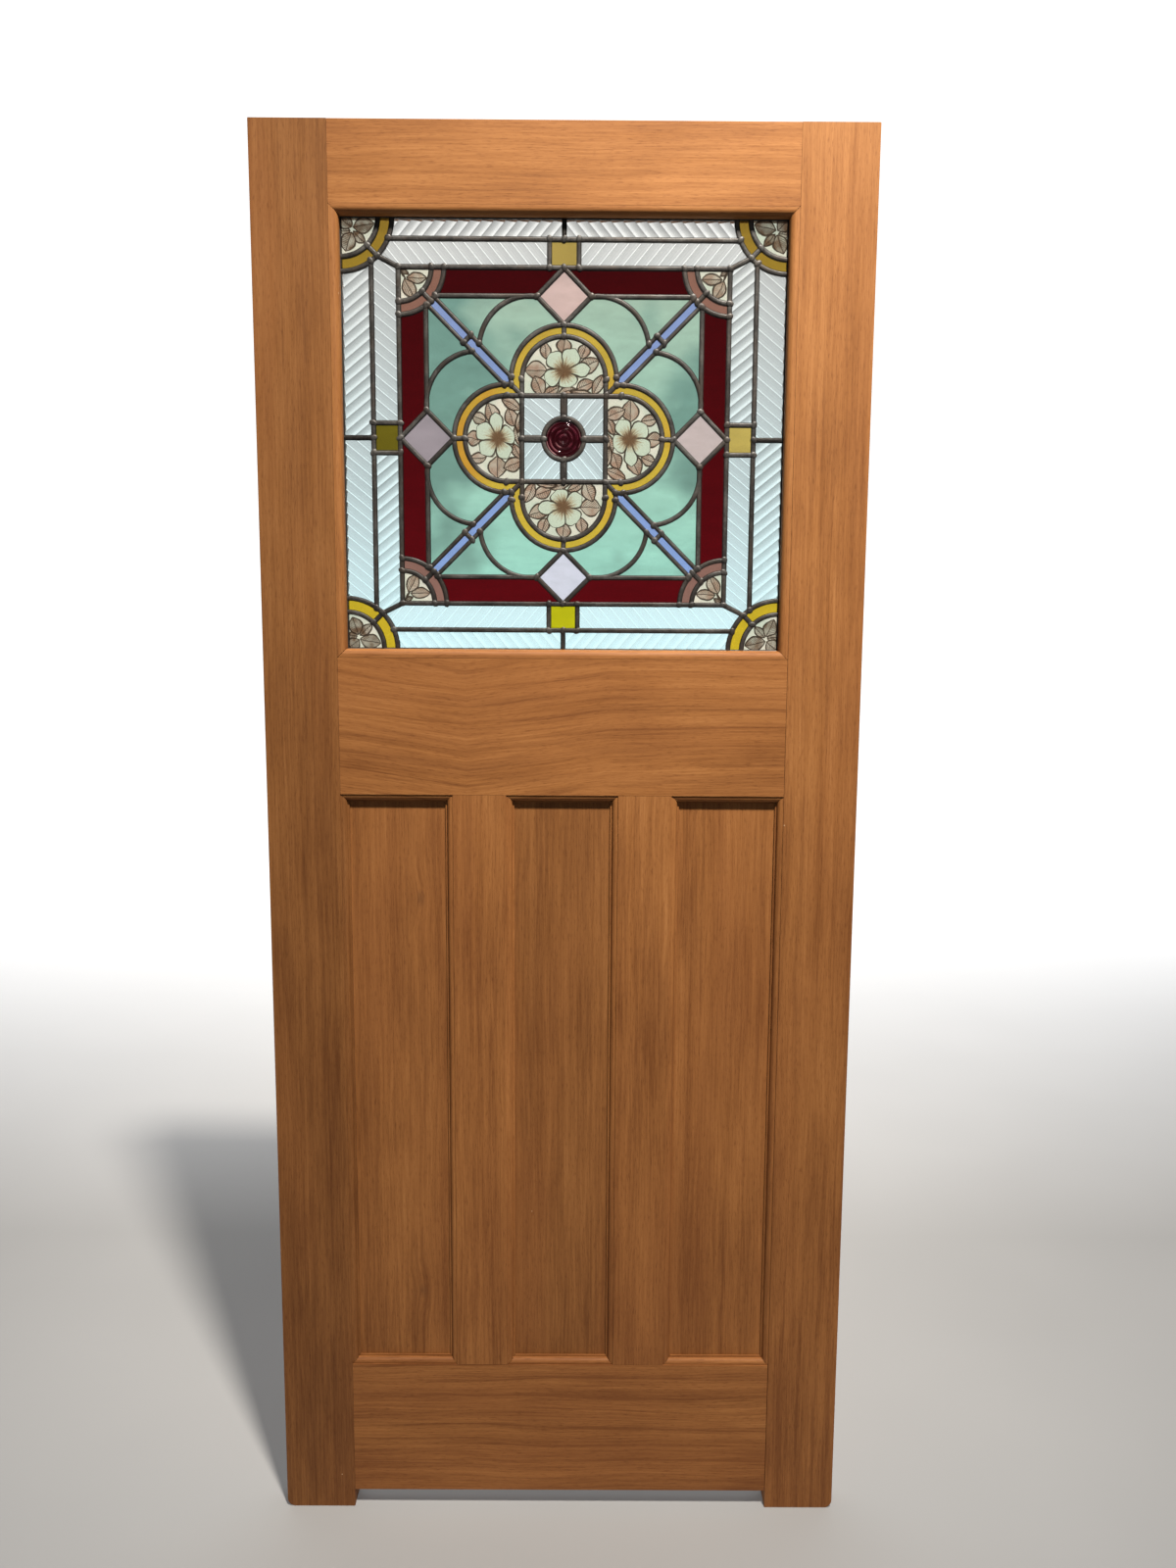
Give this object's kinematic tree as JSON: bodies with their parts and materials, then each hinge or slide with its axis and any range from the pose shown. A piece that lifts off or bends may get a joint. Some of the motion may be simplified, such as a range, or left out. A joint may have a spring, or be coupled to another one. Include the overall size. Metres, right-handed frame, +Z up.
{
  "type": "stained glass front door",
  "caption": "Panelled timber front door leaf with a square leaded light of coloured, reeded and painted glass over upright flat panels, with horned stiles.",
  "frame": {"origin": "middle of the hanging edge: half the thickness and half the height of the left stile's outer edge, seen from outside", "axes": "+X across the leaf from the hanging edge to the closing edge, +Y from the outside face to the inside face, +Z up"},
  "size_m": [0.838, 0.044, 2.009],
  "materials": {
    "frame_timber": "satin oiled",
    "panel_timber": "satin oiled",
    "bead_timber": "satin oiled",
    "lead": "dull lead",
    "reeded_glass": "clear reeded cathedral glass",
    "yellow_glass": "yellow pot-metal glass",
    "leaf_glass": "pale glass painted with leaves, with an amber or brown arc",
    "ruby_glass": "deep ruby rolled glass",
    "green_glass": "sea-green rolled glass",
    "blue_glass": "blue rolled glass",
    "foil_glass": "amber textured glass",
    "rose_glass": "pale glass painted with a rose and leaves",
    "diamond_glass": "pale pink-lilac rolled glass",
    "rondel_glass": "dark ruby glass pressed with rings"
  },
  "bodies": {
    "root": {"bar_bottom_left": "blue_glass", "bar_bottom_right": "blue_glass", "bar_top_left": "blue_glass", "bar_top_right": "blue_glass", "bottom_bead": "bead_timber", "bottom_rail": "frame_timber", "diamond_bottom": "diamond_glass", "diamond_left": "diamond_glass", "diamond_right": "diamond_glass", "diamond_top": "diamond_glass", "foil_band": "foil_glass", "green_bottom_left": "green_glass", "green_bottom_right": "green_glass", "green_left_bottom": "green_glass", "green_left_top": "green_glass", "green_right_bottom": "green_glass", "green_right_top": "green_glass", "green_top_left": "green_glass", "green_top_right": "green_glass", "inner_leaf_bottom_left": "leaf_glass", "inner_leaf_bottom_right": "leaf_glass", "inner_leaf_top_left": "leaf_glass", "inner_leaf_top_right": "leaf_glass", "lead_cames": "lead", "left_bead": "bead_timber", "left_muntin": "frame_timber", "left_panel": "panel_timber", "left_stile": "frame_timber", "lock_rail": "frame_timber", "middle_panel": "panel_timber", "outer_leaf_bottom_left": "leaf_glass", "outer_leaf_bottom_right": "leaf_glass", "outer_leaf_top_left": "leaf_glass", "outer_leaf_top_right": "leaf_glass", "reeded_border": "reeded_glass", "reeded_square": "reeded_glass", "right_bead": "bead_timber", "right_muntin": "frame_timber", "right_panel": "panel_timber", "right_stile": "frame_timber", "rondel": "rondel_glass", "rose_bottom": "rose_glass", "rose_left": "rose_glass", "rose_right": "rose_glass", "rose_top": "rose_glass", "ruby_bottom_left": "ruby_glass", "ruby_bottom_right": "ruby_glass", "ruby_left_bottom": "ruby_glass", "ruby_left_top": "ruby_glass", "ruby_right_bottom": "ruby_glass", "ruby_right_top": "ruby_glass", "ruby_top_left": "ruby_glass", "ruby_top_right": "ruby_glass", "top_bead": "bead_timber", "top_rail": "frame_timber", "yellow_square_bottom": "yellow_glass", "yellow_square_left": "yellow_glass", "yellow_square_right": "yellow_glass", "yellow_square_top": "yellow_glass"}
  },
  "joints": []
}
